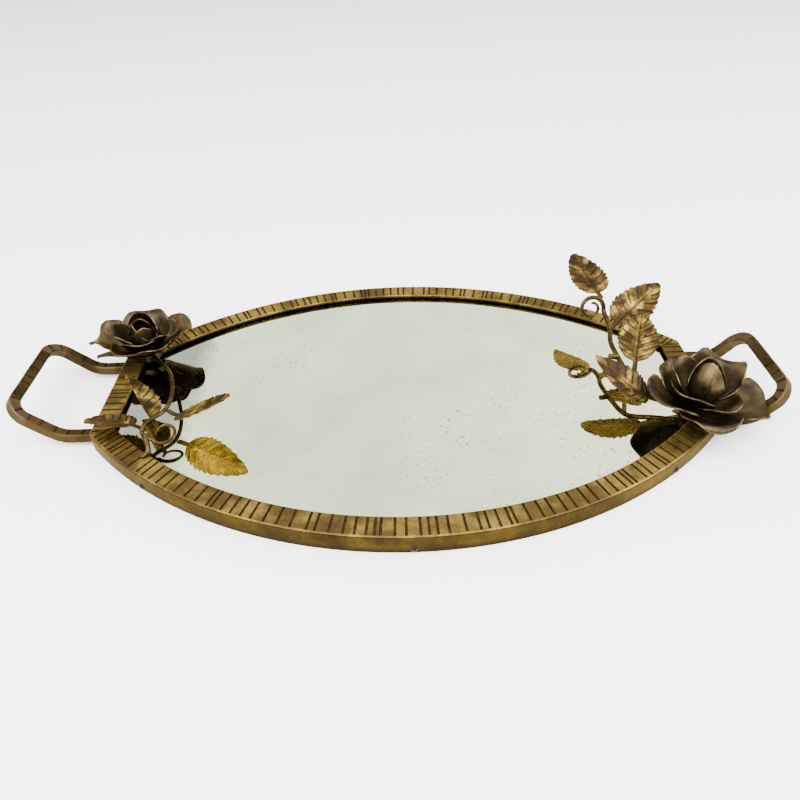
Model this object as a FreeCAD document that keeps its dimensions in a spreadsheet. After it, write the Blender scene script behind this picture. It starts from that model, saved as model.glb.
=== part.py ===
import FreeCAD, Part
import math
import os

import Sketcher
from FreeCAD import Placement, Rotation, Vector

# Dresser vanity tray: an iron rim of four mitred angle-section rails round a plate of mirror
# glass, a board and a felt under it, two square-bar handles, and on two opposite corners a
# sheet-metal rose with a spray of leaves on a curled stem.
# Millimetres. The origin is the middle of the tray on the surface it rests on: +X runs along
# the tray to its right handle, +Y to its back, +Z up.

# Driving dimensions. Every one is a cell of the sheet, under this name.
SIZES = {
    # rim: two long arcs and two short straight ends
    "half_length": 213.0,
    "half_depth": 137.5,
    "end_half_width": 43.9,
    "flange_width": 15.4,
    "flange_thickness": 2.0,
    "wall_thickness": 2.0,
    "wall_height": 13.6,
    # what the rim holds
    "glass_thickness": 3.0,
    "felt_thickness": 1.0,
    "glass_clearance": 0.5,
    "board_clearance": 0.4,
    "felt_clearance": 1.0,
    # pins through the wall into the board's edge
    "pin_level": 2.6,
    "pin_shank_radius": 0.8,
    "pin_shank_length": 10.0,
    "pin_head_radius": 2.2,
    "pin_head_height": 1.2,
    "pin_hole_clearance": 0.1,
    "pin_spread_angle": 36.0,
    # handles of square bar
    "bar_width": 7.2,
    "handle_level": 3.2,
    "handle_run": 22.0,
    "handle_bend_radius": 17.0,
    "handle_corner_radius": 16.0,
    "handle_inner_radius": 8.0,
    "left_handle_climb": 36.5,
    "left_handle_tilt": 41.0,
    "left_handle_spread": 37.6,
    "left_handle_shift": 0.0,
    "right_handle_climb": 29.0,
    "right_handle_tilt": 49.0,
    "right_handle_spread": 35.2,
    "right_handle_shift": -5.0,
    # roses: a boss on the rim, a post through the petals, three layers of petals
    "rose_inset": 17.0,
    "left_rose_offset": 1.1,
    "right_rose_offset": -5.9,
    "boss_radius": 10.0,
    "boss_height": 5.0,
    "post_radius": 3.0,
    "petal_thickness": 1.2,
    "layer_clearance": 0.4,
    "outer_lip_radius": 34.0,
    "outer_lip_rise": 0.235,
    "outer_bowl_share": 1.85,
    "outer_sweep": 66.0,
    "outer_lobe_centre": 14.0,
    "middle_lip_radius": 23.0,
    "middle_lip_height": 17.0,
    "middle_bowl_radius": 24.0,
    "middle_sweep": 80.0,
    "middle_lobe_centre": 9.5,
    "bud_tip_radius": 2.6,
    "bud_height": 26.0,
    "bud_bulge_radius": 16.0,
    "bud_sweep": 112.0,
    # sprays: wire stems and leaves cut from sheet, laid out for petals of the pattern's reach
    "spray_pattern_reach": 34.0,
    "stem_radius": 2.0,
    "left_curl_radius": 8.5,
    "right_curl_radius": 9.0,
    "curl_end_radius": 4.0,
    "curl_step": 60.0,
    "leaf_thickness": 1.0,
    "leaf_width": 28.0,
    "leaf_blade_length": 36.0,
    "leaf_tail_width": 3.4,
    "twig_radius": 2.4,
    "twig_length": 6.0,
    "sepal_gap": 1.0,
    "sepal_width": 11.0,
    "sepal_heading": 183.0,
}

# Worked-out sizes. Each is a formula in a second sheet.
WORKED = {
    "arc_radius": "(Dims.half_length^2 + (Dims.half_depth - Dims.end_half_width)^2)"
                  " / (2 * (Dims.half_depth - Dims.end_half_width))",
    "arc_centre": "arc_radius - Dims.half_depth",
    "flange_bottom": "Dims.wall_height - Dims.flange_thickness",
    "glass_bottom": "flange_bottom - Dims.glass_thickness",
    "board_thickness": "glass_bottom - Dims.felt_thickness",
    "handle_mid_level": "Dims.handle_level + Dims.bar_width / 2",
    "handle_window_back": "Dims.handle_run + 2 * Dims.bar_width",
    "rose_x": "Dims.half_length - Dims.rose_inset",
    "left_rose_y": "Dims.end_half_width + Dims.left_rose_offset",
    "right_rose_y": "-(Dims.end_half_width + Dims.right_rose_offset)",
    "boss_top": "Dims.wall_height + Dims.boss_height",
    "middle_root": "Dims.petal_thickness + Dims.layer_clearance",
    "bud_root": "2 * middle_root",
    "post_height": "bud_root + Dims.petal_thickness",
    "outer_lip_height": "Dims.outer_lip_radius * Dims.outer_lip_rise",
    "outer_bowl_radius": "Dims.outer_lip_radius * Dims.outer_bowl_share",
    "spray_scale": "Dims.outer_lip_radius / Dims.spray_pattern_reach",
    "sepal_length": "Dims.rose_inset + Dims.handle_run"
                    " - Dims.bar_width * tan(Dims.left_handle_tilt / 2)"
                    " + (Dims.wall_height - Dims.handle_level - Dims.bar_width)"
                    " / tan(Dims.left_handle_tilt) - Dims.sepal_gap",
    "leaf_bulge": "Dims.leaf_width / 2 - Dims.leaf_tail_width / 2",
    "leaf_arc": "((Dims.leaf_blade_length / 2)^2 + leaf_bulge^2) / (2 * leaf_bulge)",
}

# The sprays' stems, as points from the rose's foot on the rim: each ends where its curl begins.
STEM_ROUTES = {
    "left": [(0, 0, 2.4), (18, -20, 3), (28, -37, 8), (36, -79, 10.4), (26, -88, 10.4),
             (25, -97, 8.4), (29.5, -102, 5.4)],
    "right": [(0, 0, 2.6), (-21, 7, 3.6), (-40, 18, 11), (-44, 43, 14.4), (-45.7, 58.5, 15.8),
              (-41.5, 72, 20), (-43.3, 88.4, 20.8), (-44.2, 90, 26)],
}
CORNER_SHARE = 0.45

# A petal's lip is cut square to its sheet: the shares of the thickness it runs in and up.
LIP_IN = 0.6
LIP_UP = 0.8
CURL_TILT = {"left": 75.0, "right": 17.0}
CURL_TURN = {"left": 400.0, "right": 420.0}

# Leaves: (stem, its route point, heading, climb, roll, tail length), angles in degrees.
LEAVES = {
    "left_leaf_front": ("left", 5, 162.0, 1.5, 33.0, 9.0),
    "left_leaf_middle": ("left", 3, -14.0, 23.5, -21.0, 17.0),
    "left_leaf_back": ("left", 4, 122.0, 8.0, 45.0, 10.0),
    "right_leaf_front": ("right", 1, 153.0, 26.6, -15.0, 19.0),
    "right_leaf_middle": ("right", 2, 71.6, 18.5, -20.0, 22.0),
    "right_leaf_back": ("right", 5, 35.6, 19.9, 20.0, 15.0),
    "right_leaf_top": ("right", 7, 101.5, 17.0, 3.0, 20.0),
}

# Side shoots cut short: the stem's route point and the way the shoot points.
TWIGS = {"left": (6, (0.1, -0.8, -0.3)), "right": (3, (-1.0, 0.0, 0.2))}

# Where each layer's first petal points, in degrees from +X.
LAYER_TURN = {
    "left": {"outer": 170.0, "middle": 232.0, "bud": 55.0},
    "right": {"outer": -10.0, "middle": 52.0, "bud": 235.0},
}
LAYER_COUNT = {"outer": 5, "middle": 4, "bud": 3}

SAME_PLACE = 0.01

doc = FreeCAD.newDocument("vanity_tray")
subparts = []


def fill_sheets():
    """The driving dimensions as plain numbers, and the formulas worked out from them."""
    dims = doc.addObject("Spreadsheet::Sheet", "Dims")
    for row, (name, value) in enumerate(SIZES.items(), 1):
        dims.set(f"A{row}", name)
        dims.set(f"B{row}", str(value))
        dims.setAlias(f"B{row}", name)
    worked = doc.addObject("Spreadsheet::Sheet", "Worked")
    for row, (name, formula) in enumerate(WORKED.items(), 1):
        worked.set(f"A{row}", name)
        worked.setAlias(f"B{row}", name)
        worked.set(f"B{row}", "=" + formula)
    doc.recompute()


def cell(name):
    """The name of a size as an expression."""
    return f"Worked.{name}" if name in WORKED else f"Dims.{name}"


def size(name):
    """The value of a size, in millimetres or degrees."""
    sheet = doc.getObject("Worked" if name in WORKED else "Dims")
    return float(sheet.get(name))


def bind(feature, **bindings):
    """Bind properties of a feature to formulas of the sheets."""
    for prop, formula in bindings.items():
        feature.setExpression(prop, formula)


def keep(feature, label):
    """Label a finished sub-part: the label names its file."""
    feature.Label = label
    subparts.append(feature)
    return feature


def new_body(name, place=None):
    body = doc.addObject("PartDesign::Body", name)
    if place:
        body.Placement = place
    return body


def attached_sketch(body, name, role, level=None):
    """An empty sketch on one of the body's own origin planes, at a level above it."""
    sketch = body.newObject("Sketcher::SketchObject", name)
    plane = [f for f in body.Origin.OriginFeatures if f.Role == role][0]
    sketch.AttachmentSupport = [(plane, "")]
    sketch.MapMode = "FlatFace"
    if level:
        sketch.setExpression("AttachmentOffset.Base.z", level)
    return sketch


def arc_between(start, end, radius, turns_left):
    """The minor arc from start to end, with its centre on the left or the right of the way."""
    chord = end - start
    half = chord.Length / 2
    across = Vector(-chord.y, chord.x, 0).normalize()
    offset = math.sqrt(max(radius ** 2 - half ** 2, 0.0))
    centre = (start + end) / 2 + across * (offset if turns_left else -offset)
    first, last = (start, end) if turns_left else (end, start)
    angles = [math.atan2((p - centre).y, (p - centre).x) for p in (first, last)]
    circle = Part.Circle(centre, Vector(0, 0, 1), radius)
    return Part.ArcOfCircle(circle, angles[0], angles[1])


def draw_outline(sketch, corners, arcs=None):
    """A closed outline. Each corner is (x, y) as (value, formula) pairs; arcs gives, for a
    side's number, (radius value, radius formula, whether it turns left)."""
    arcs = arcs or {}
    count = len(corners)
    points = [Vector(x[0], y[0], 0) for x, y in corners]
    ends = []
    for side in range(count):
        start = points[side]
        end = points[(side + 1) % count]
        if side in arcs:
            radius, formula, turns_left = arcs[side]
            sketch.addGeometry(arc_between(start, end, radius, turns_left), False)
            ends.append((1, 2) if turns_left else (2, 1))
            number = sketch.addConstraint(Sketcher.Constraint("Radius", side, radius))
            sketch.setExpression(f"Constraints[{number}]", formula)
        else:
            sketch.addGeometry(Part.LineSegment(start, end), False)
            ends.append((1, 2))
    for side in range(count):
        following = (side + 1) % count
        sketch.addConstraint(Sketcher.Constraint(
            "Coincident", side, ends[side][1], following, ends[following][0]))
    for side, (x, y) in enumerate(corners):
        for kind, axis, (value, formula) in (("DistanceX", -2, x), ("DistanceY", -1, y)):
            if formula is None:
                sketch.addConstraint(Sketcher.Constraint(
                    "PointOnObject", side, ends[side][0], axis))
                continue
            number = sketch.addConstraint(Sketcher.Constraint(
                kind, -1, 1, side, ends[side][0], value))
            sketch.setExpression(f"Constraints[{number}]", formula)


def pad(body, name, sketch, length):
    feature = body.newObject("PartDesign::Pad", name)
    feature.Profile = sketch
    bind(feature, Length=length)
    return feature


def at(name, sign=1):
    """A coordinate that is a size of the sheets, or the same the other way."""
    return (sign * size(name), ("-" if sign < 0 else "") + cell(name))


ZERO = (0.0, None)


# The rim -----------------------------------------------------------------------------------

def inset_corner(inset):
    """The corner where a long arc and a straight end meet, both moved in by an inset: its x and
    y as (value, formula) pairs. The mitre between two rails runs through such corners."""
    value = 0.0
    for name in inset:
        value += size(name)
    total = " + ".join(cell(name) for name in inset) if inset else "0"
    x = size("half_length") - value
    radius = size("arc_radius") - value
    y = math.sqrt(radius ** 2 - x ** 2) - size("arc_centre")
    x_formula = f"Dims.half_length - ({total})"
    y_formula = f"sqrt((Worked.arc_radius - ({total}))^2 - ({x_formula})^2) - Worked.arc_centre"
    return (x, x_formula), (y, y_formula), (radius, f"Worked.arc_radius - ({total})")


def flipped(pair):
    value, formula = pair
    return (-value, f"-({formula})")


def long_band(sketch, inner):
    """Plan of a long rail's flange or wall: two arcs, cut at the mitres."""
    x_out, y_out, r_out = inset_corner([])
    x_in, y_in, r_in = inset_corner(inner)
    corners = [(flipped(x_out), flipped(y_out)), (x_out, flipped(y_out)),
               (x_in, flipped(y_in)), (flipped(x_in), flipped(y_in))]
    draw_outline(sketch, corners, {0: (*r_out, True), 2: (*r_in, False)})


def short_band(sketch, inner):
    """Plan of an end rail's flange or wall: straight, cut at the mitres."""
    x_out, y_out, _ = inset_corner([])
    x_in, y_in, _ = inset_corner(inner)
    draw_outline(sketch, [(x_out, flipped(y_out)), (x_out, y_out), (x_in, y_in),
                          (x_in, flipped(y_in))])


def make_rail(name, band, turn):
    """One rail of angle section: an upright wall and, level with its top, a flange inwards."""
    body = new_body(name + "_section", Placement(Vector(), Rotation(Vector(0, 0, 1), turn)))
    wall_plan = attached_sketch(body, name + "_wall_plan", "XY_Plane")
    band(wall_plan, ["wall_thickness"])
    pad(body, name + "_wall", wall_plan, "Dims.wall_height")
    flange_plan = attached_sketch(body, name + "_flange_plan", "XY_Plane", "Worked.flange_bottom")
    band(flange_plan, ["flange_width"])
    pad(body, name + "_flange", flange_plan, "Dims.flange_thickness")
    return body


def make_plate(name, clearances, level, thickness):
    """A plate that lies inside the rim's wall, with a clearance to it all round."""
    body = new_body(name + "_blank")
    plan = attached_sketch(body, name + "_plan", "XY_Plane", level)
    x, y, radius = inset_corner(["wall_thickness"] + clearances)
    corners = [(flipped(x), flipped(y)), (x, flipped(y)), (x, y), (flipped(x), y)]
    draw_outline(plan, corners, {0: (*radius, True), 2: (*radius, True)})
    pad(body, name + "_sheet", plan, thickness)
    return body


def pin_places():
    """Where the pins go in: the middle of each long rail and near its two ends."""
    centre = size("arc_centre")
    for facing in (-90.0, 90.0):
        for turn in (-1, 0, 1):
            angle = math.radians(facing + turn * size("pin_spread_angle"))
            along = Vector(math.cos(angle), math.sin(angle), 0)
            middle = Vector(0, -math.copysign(centre, facing), size("pin_level"))
            yield middle + along * size("arc_radius"), along


def make_pins():
    """Round-headed pins, six alike: a shank into the board and a domed head on the wall."""
    pins = []
    head = size("pin_head_radius")
    rise = size("pin_head_height")
    dome_radius = (head ** 2 + rise ** 2) / (2 * rise)
    for place, outward in pin_places():
        shank = Part.makeCylinder(size("pin_shank_radius"), size("pin_shank_length"),
                                  place, -outward)
        ball = Part.makeSphere(dome_radius, place - outward * (dome_radius - rise), outward)
        dome = ball.common(Part.makeCylinder(head, rise, place, outward))
        pins.append(shank.fuse(dome).removeSplitter())
    feature = doc.addObject("Part::Feature", "pins")
    feature.Shape = Part.makeCompound(pins)
    return keep(feature, "edge_pins")


def pin_holes(name, clearance, depth):
    """The cylinders that a rail or the board is drilled with."""
    holes = [Part.makeCylinder(size("pin_shank_radius") + clearance, depth, place, -outward)
             for place, outward in pin_places()]
    feature = doc.addObject("Part::Feature", name)
    feature.Shape = Part.makeCompound(holes)
    return feature


def cut(base, tool, label):
    feature = doc.addObject("Part::Cut", label + "_cut")
    feature.Base = base
    feature.Tool = tool
    return keep(feature, label)


def make_rim():
    wall_holes = pin_holes("wall_holes", size("pin_hole_clearance"), size("wall_thickness") + 1)
    board_holes = pin_holes("board_holes", 0.0, size("pin_shank_length"))
    cut(make_rail("front", long_band, 0), wall_holes, "front_rail")
    cut(make_rail("back", long_band, 180), wall_holes, "back_rail")
    keep(make_rail("right_end", short_band, 0), "right_end_rail")
    keep(make_rail("left_end", short_band, 180), "left_end_rail")
    glass = make_plate("glass", ["glass_clearance"], "Worked.glass_bottom",
                       "Dims.glass_thickness")
    keep(glass, "mirror_glass")
    board = make_plate("board", ["board_clearance"], "Dims.felt_thickness",
                       "Worked.board_thickness")
    cut(board, board_holes, "backing_board")
    keep(make_plate("felt", ["felt_clearance"], None, "Dims.felt_thickness"), "base_felt")
    make_pins()


# The handles -------------------------------------------------------------------------------

def handle_frame(side):
    """The inclined half of the handle from the side: the formula of a point that lies `along`
    the incline from the bend's corner and `off` above its middle line."""
    tilt = math.radians(size(f"{side}_handle_tilt"))
    tilt_f = f"(Dims.{side}_handle_tilt * 1 deg)"

    def point(along, off):
        x = size("handle_run") + along[0] * math.cos(tilt) - off[0] * math.sin(tilt)
        z = size("handle_mid_level") + along[0] * math.sin(tilt) + off[0] * math.cos(tilt)
        x_f = f"Dims.handle_run + {along[1]} * cos({tilt_f}) - {off[1]} * sin({tilt_f})"
        z_f = (f"Worked.handle_mid_level + {along[1]} * sin({tilt_f})"
               f" + {off[1]} * cos({tilt_f})")
        return (x, x_f), (z, z_f)

    setback = (size("handle_bend_radius") * math.tan(tilt / 2),
               f"(Dims.handle_bend_radius * tan({tilt_f} / 2))")
    return point, setback


def handle_profile(side):
    """The bar's outline from the side, as corners and the arcs of the bend."""
    point, setback = handle_frame(side)
    bar = size("bar_width")
    bend = size("handle_bend_radius")
    low = (-bar / 2, "(-Dims.bar_width / 2)")
    high = (bar / 2, "(Dims.bar_width / 2)")
    end = (size(f"{side}_handle_climb") + bar / 2,
           f"(Dims.{side}_handle_climb + Dims.bar_width / 2)")
    level = (size("handle_run") - setback[0], f"Dims.handle_run - {setback[1]}")
    floor = at("handle_level")
    roof = (floor[0] + bar, "Dims.handle_level + Dims.bar_width")
    corners = [(ZERO, floor), (level, floor), point(setback, low), point(end, low),
               point(end, high), point(setback, high), (level, roof), (ZERO, roof)]
    arcs = {1: (bend + bar / 2, "Dims.handle_bend_radius + Dims.bar_width / 2", True),
            5: (bend - bar / 2, "Dims.handle_bend_radius - Dims.bar_width / 2", False)}
    return corners, arcs


def end_edges(shape, ends, y):
    """The names of the edges that join two points of the side outline at a distance y."""
    names = []
    for number, edge in enumerate(shape.Edges, 1):
        places = [v.Point for v in edge.Vertexes]
        if len(places) == 2 and all(
                min((p - Vector(x, y, z)).Length for x, z in ends) < SAME_PLACE
                for p in places):
            names.append(f"Edge{number}")
    return names


def window_outline(side):
    """The space between the legs, seen square to the incline, with rounded far corners."""
    half = (size(f"{side}_handle_spread") - size("bar_width") / 2,
            f"(Dims.{side}_handle_spread - Dims.bar_width / 2)")
    far = (size(f"{side}_handle_climb") - size("bar_width") / 2,
           f"Dims.{side}_handle_climb - Dims.bar_width / 2")
    radius = at("handle_inner_radius")
    short = (far[0] - radius[0], f"{far[1]} - {radius[1]}")
    inner = (half[0] - radius[0], f"({half[1]} - {radius[1]})")
    back = at("handle_window_back", -1)
    corners = [(back, flipped(half)), (short, flipped(half)), (far, flipped(inner)),
               (far, inner), (short, half), (back, half)]
    return corners, {1: (*radius, True), 3: (*radius, True)}


def make_handle(side):
    """A loop of square bar. Its legs leave the rim's end wall level and bend up, and a cross
    bar with rounded corners joins them; the feet butt against the wall."""
    body = new_body(side + "_handle_bar")
    profile = attached_sketch(body, side + "_handle_side", "XZ_Plane")
    corners, arcs = handle_profile(side)
    draw_outline(profile, corners, arcs)
    plate = pad(body, side + "_handle_plate", profile,
                f"2 * Dims.{side}_handle_spread + Dims.bar_width")
    plate.Midplane = True
    doc.recompute()
    edge_y = size(f"{side}_handle_spread") + size("bar_width") / 2
    ends = [(corners[3][0][0], corners[3][1][0]), (corners[4][0][0], corners[4][1][0])]
    fillet = body.newObject("PartDesign::Fillet", f"{side}_handle_corners")
    fillet.Base = (plate, end_edges(plate.Shape, ends, edge_y)
                   + end_edges(plate.Shape, ends, -edge_y))
    bind(fillet, Radius="Dims.handle_corner_radius")
    doc.recompute()
    window = attached_sketch(body, side + "_handle_window", "XY_Plane")
    window.AttachmentOffset = Placement(
        Vector(size("handle_run"), 0, size("handle_mid_level")),
        Rotation(Vector(0, -1, 0), size(f"{side}_handle_tilt")))
    bind(window, **{"AttachmentOffset.Base.x": "Dims.handle_run",
                    "AttachmentOffset.Base.z": "Worked.handle_mid_level",
                    "AttachmentOffset.Rotation.Angle": f"Dims.{side}_handle_tilt"})
    draw_outline(window, *window_outline(side))
    opening = body.newObject("PartDesign::Pocket", f"{side}_handle_opening")
    opening.Profile = window
    opening.Type = "ThroughAll"
    opening.Midplane = True
    doc.recompute()
    if not opening.Shape.Volume < fillet.Shape.Volume:
        raise RuntimeError(f"the {side} handle has no opening")
    turn = 180 if side == "left" else 0
    body.Placement = Placement(Vector(), Rotation(Vector(0, 0, 1), turn))
    sign = "-" if side == "left" else ""
    bind(body, **{".Placement.Base.x": f"{sign}Dims.half_length",
                  ".Placement.Base.y": cell(f"{side}_handle_shift")})
    keep(body, side + "_handle")


# The roses ---------------------------------------------------------------------------------

def rose_foot(side):
    """The rose's foot: the point of the rim's top that its post stands over."""
    x = size("rose_x")
    return Vector(-x if side == "left" else x, size(f"{side}_rose_y"), size("wall_height"))


def make_boss(side):
    """The boss on the rim's corner, with the post that the petals are threaded on."""
    body = new_body(side + "_rose_boss_body", Placement(rose_foot(side), Rotation()))
    profile = attached_sketch(body, side + "_boss_profile", "XZ_Plane")
    top = (size("boss_height"), "Dims.boss_height")
    post_top = (size("boss_height") + size("post_height"),
                "Dims.boss_height + Worked.post_height")
    draw_outline(profile, [(ZERO, ZERO), (at("boss_radius"), ZERO), (at("boss_radius"), top),
                           (at("post_radius"), top), (at("post_radius"), post_top),
                           (ZERO, post_top)])
    turning = body.newObject("PartDesign::Revolution", side + "_boss_turning")
    turning.Profile = sketch_axis_profile(profile, turning)
    turning.Angle = 360
    keep(body, side + "_rose_boss")
    return body


def sketch_axis_profile(sketch, feature):
    """Turn a sketch about its own upright axis."""
    feature.ReferenceAxis = (sketch, ["V_Axis"])
    return sketch


def petal_profile(layer):
    """A petal's section: its root against the post, then a curve out and up to its lip."""
    thick = size("petal_thickness")
    if layer == "bud":
        tip = at("bud_tip_radius")
        bottom = (at("post_radius"), ZERO)
        top_outer = (tip, at("bud_height"))
        top_inner = (tip, (size("bud_height") - thick, "Dims.bud_height - Dims.petal_thickness"))
        root_inner = (at("post_radius"), at("petal_thickness"))
        outer_arc = (size("bud_bulge_radius"), "Dims.bud_bulge_radius", True)
        inner_arc = (size("bud_bulge_radius") - thick / 2,
                     "Dims.bud_bulge_radius - Dims.petal_thickness / 2", False)
        return [bottom, top_outer, top_inner, root_inner], {0: outer_arc, 2: inner_arc}
    lip_x, lip_z = at(f"{layer}_lip_radius"), at(f"{layer}_lip_height")
    inward = (lip_x[0] - thick * LIP_IN, f"{lip_x[1]} - {LIP_IN} * Dims.petal_thickness")
    upward = (lip_z[0] + thick * LIP_UP, f"{lip_z[1]} + {LIP_UP} * Dims.petal_thickness")
    bowl = (size(f"{layer}_bowl_radius"), cell(f"{layer}_bowl_radius"))
    corners = [(at("post_radius"), ZERO), (lip_x, lip_z), (inward, upward),
               (at("post_radius"), at("petal_thickness"))]
    return corners, {0: (*bowl, True), 2: (*bowl, False)}


def make_petal(side, layer, number):
    """One petal: a sector of a bowl, trimmed in plan to a round lobe."""
    label = f"{side}_rose_{layer}_petal_{number + 1}"
    foot = rose_foot(side)
    root = {"outer": 0.0, "middle": size("middle_root"), "bud": size("bud_root")}[layer]
    heading = LAYER_TURN[side][layer] + number * 360.0 / LAYER_COUNT[layer]
    place = Placement(Vector(foot.x, foot.y, size("boss_top") + root),
                      Rotation(Vector(0, 0, 1), heading))
    body = new_body(label + "_bowl", place)
    profile = attached_sketch(body, label + "_profile", "XZ_Plane")
    corners, arcs = petal_profile(layer)
    draw_outline(profile, corners, arcs)
    turning = body.newObject("PartDesign::Revolution", label + "_turning")
    turning.Profile = sketch_axis_profile(profile, turning)
    turning.Midplane = True
    bind(turning, Angle=cell(f"{layer}_sweep"))
    if layer == "bud":
        return keep(body, label)
    lobe = doc.addObject("Part::Cylinder", label + "_lobe")
    lobe_centre = size(f"{layer}_lobe_centre")
    bind(lobe, Radius=f"{cell(layer + '_lip_radius')} - {cell(layer + '_lobe_centre')}",
         Height=f"2 * {cell(layer + '_lip_height')}")
    lobe.Placement = place * Placement(Vector(lobe_centre, 0, -size("petal_thickness")),
                                       Rotation())
    petal = doc.addObject("Part::Common", label + "_trimmed")
    petal.Base = body
    petal.Tool = lobe
    return keep(petal, label)


def make_rose(side):
    boss = make_boss(side)
    for layer, count in LAYER_COUNT.items():
        for number in range(count):
            make_petal(side, layer, number)
    return boss


# The sprays --------------------------------------------------------------------------------

def rounded_route(points):
    """Straight runs through the points, joined by tangent arcs as large as the runs allow."""
    edges = []
    start = points[0]
    for before, corner, after in zip(points, points[1:], points[2:]):
        incoming = corner - before
        outgoing = after - corner
        half_turn = incoming.getAngle(outgoing) / 2
        setback = CORNER_SHARE * min(incoming.Length, outgoing.Length)
        enter = corner - Vector(incoming).normalize() * setback
        leave = corner + Vector(outgoing).normalize() * setback
        to_centre = ((enter + leave) / 2 - corner).normalize()
        radius = setback / math.tan(half_turn)
        crown = corner + to_centre * (radius / math.cos(half_turn) - radius)
        edges.append(Part.LineSegment(start, enter).toShape())
        edges.append(Part.Arc(enter, crown, leave).toShape())
        start = leave
    edges.append(Part.LineSegment(start, points[-1]).toShape())
    return edges


def curl_arcs(side, start, heading):
    """The curl: quarter turns of shrinking radius in one tilted plane, tangent to the stem."""
    normal = Rotation(Vector(1, 0, 0), 90 - CURL_TILT[side]).multVec(Vector(0, 0, 1))
    normal = (normal - heading * normal.dot(heading)).normalize()
    turn = CURL_TURN[side]
    steps = int(abs(turn) // size("curl_step"))
    step = math.copysign(size("curl_step"), turn)
    edges = []
    point = start
    along = heading
    for number in range(steps):
        share = number / (steps - 1)
        radius = size(f"{side}_curl_radius") * (1 - share) + size("curl_end_radius") * share
        inward = normal.cross(along) * math.copysign(1, turn)
        centre = point + inward * radius
        half = Rotation(normal, step / 2)
        full = Rotation(normal, step)
        middle = centre + half.multVec(point - centre)
        end = centre + full.multVec(point - centre)
        edges.append(Part.Arc(point, middle, end).toShape())
        along = full.multVec(along)
        point = end
    return edges


def route_points(side):
    foot = rose_foot(side)
    scale = size("spray_scale")
    return [foot + Vector(*point) * scale for point in STEM_ROUTES[side]]


def make_stem(side, boss):
    """The wire stem, from the boss under the petals to its curled end."""
    points = route_points(side)
    edges = rounded_route(points)
    heading = (points[-1] - points[-2]).normalize()
    edges += curl_arcs(side, points[-1], heading)
    route = doc.addObject("Part::Feature", side + "_stem_route")
    route.Shape = Part.Wire(edges)
    section = doc.addObject("Part::Circle", side + "_stem_section")
    bind(section, Radius="Dims.stem_radius")
    outward = (points[1] - points[0]).normalize()
    section.Placement = Placement(points[0], Rotation(Vector(0, 0, 1), outward))
    wire = doc.addObject("Part::Sweep", side + "_stem_wire")
    wire.Sections = [section]
    wire.Spine = (route, [f"Edge{number + 1}" for number in range(len(edges))])
    wire.Solid = True
    return cut(wire, boss, side + "_stem")


def make_twig(side, stem):
    """The cut-off end of a side shoot on the stem."""
    index, direction = TWIGS[side]
    start = route_points(side)[index]
    twig = doc.addObject("Part::Cylinder", side + "_twig_round")
    bind(twig, Radius="Dims.twig_radius", Height="Dims.twig_length")
    twig.Placement = Placement(start, Rotation(Vector(0, 0, 1), Vector(*direction)))
    cut(twig, stem, side + "_twig")


def make_leaf(name, stem):
    """A leaf cut from sheet: a narrow tail brazed to the stem, then a pointed oval blade."""
    side, index, heading, climb, roll, tail = LEAVES[name]
    body = new_body(name + "_body")
    plan = attached_sketch(body, name + "_plan", "XY_Plane", "-Dims.leaf_thickness / 2")
    neck = (tail, str(tail))
    half = (size("leaf_tail_width") / 2, "Dims.leaf_tail_width / 2")
    tip = (tail + size("leaf_blade_length"), f"{tail} + Dims.leaf_blade_length")
    arc = (size("leaf_arc"), "Worked.leaf_arc")
    draw_outline(plan, [(ZERO, flipped(half)), (neck, flipped(half)), (tip, ZERO),
                        (neck, half), (ZERO, half)],
                 {1: (*arc, True), 2: (*arc, True)})
    pad(body, name + "_blade", plan, "Dims.leaf_thickness")
    turn = (Rotation(Vector(0, 0, 1), heading) * Rotation(Vector(0, 1, 0), -climb)
            * Rotation(Vector(1, 0, 0), roll))
    body.Placement = Placement(route_points(side)[index], turn)
    cut(body, stem, name)


def make_sepal(boss):
    """The calyx leaf under the left rose: a strip laid out over the handle's foot."""
    body = new_body("sepal_body")
    plan = attached_sketch(body, "sepal_plan", "XY_Plane")
    width = (size("sepal_width") / 2, "Dims.sepal_width / 2")
    reach = at("sepal_length")
    draw_outline(plan, [(ZERO, flipped(width)), (reach, flipped(width)), (reach, width),
                        (ZERO, width)])
    pad(body, "sepal_strip", plan, "Dims.petal_thickness")
    body.Placement = Placement(rose_foot("left"), Rotation(Vector(0, 0, 1), size("sepal_heading")))
    cut(body, boss, "left_rose_sepal")


def make_sprays(bosses):
    stems = {side: make_stem(side, boss) for side, boss in bosses.items()}
    for name, leaf in LEAVES.items():
        make_leaf(name, stems[leaf[0]])
    for side, stem in stems.items():
        make_twig(side, stem)
    make_sepal(bosses["left"])


# Check and write ---------------------------------------------------------------------------

def check_document():
    doc.recompute()
    for feature in doc.Objects:
        if "Invalid" in feature.State or "Error" in feature.State:
            raise RuntimeError(f"{feature.Name} failed: {feature.State}")
    for part in subparts:
        if part.Shape.isNull() or not part.Shape.isValid() or not part.Shape.Solids:
            raise RuntimeError(f"{part.Label} has no valid solid")


def write_parts():
    os.makedirs("parts", exist_ok=True)
    for part in subparts:
        part.Shape.exportStep(f"parts/{part.Label}.step")


fill_sheets()
make_rim()
for handle_side in ("left", "right"):
    make_handle(handle_side)
make_sprays({rose_side: make_rose(rose_side) for rose_side in ("left", "right")})
check_document()
write_parts()
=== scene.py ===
import math
import random

import bmesh
import bpy
from mathutils import Euler, Matrix, Vector, noise


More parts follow.
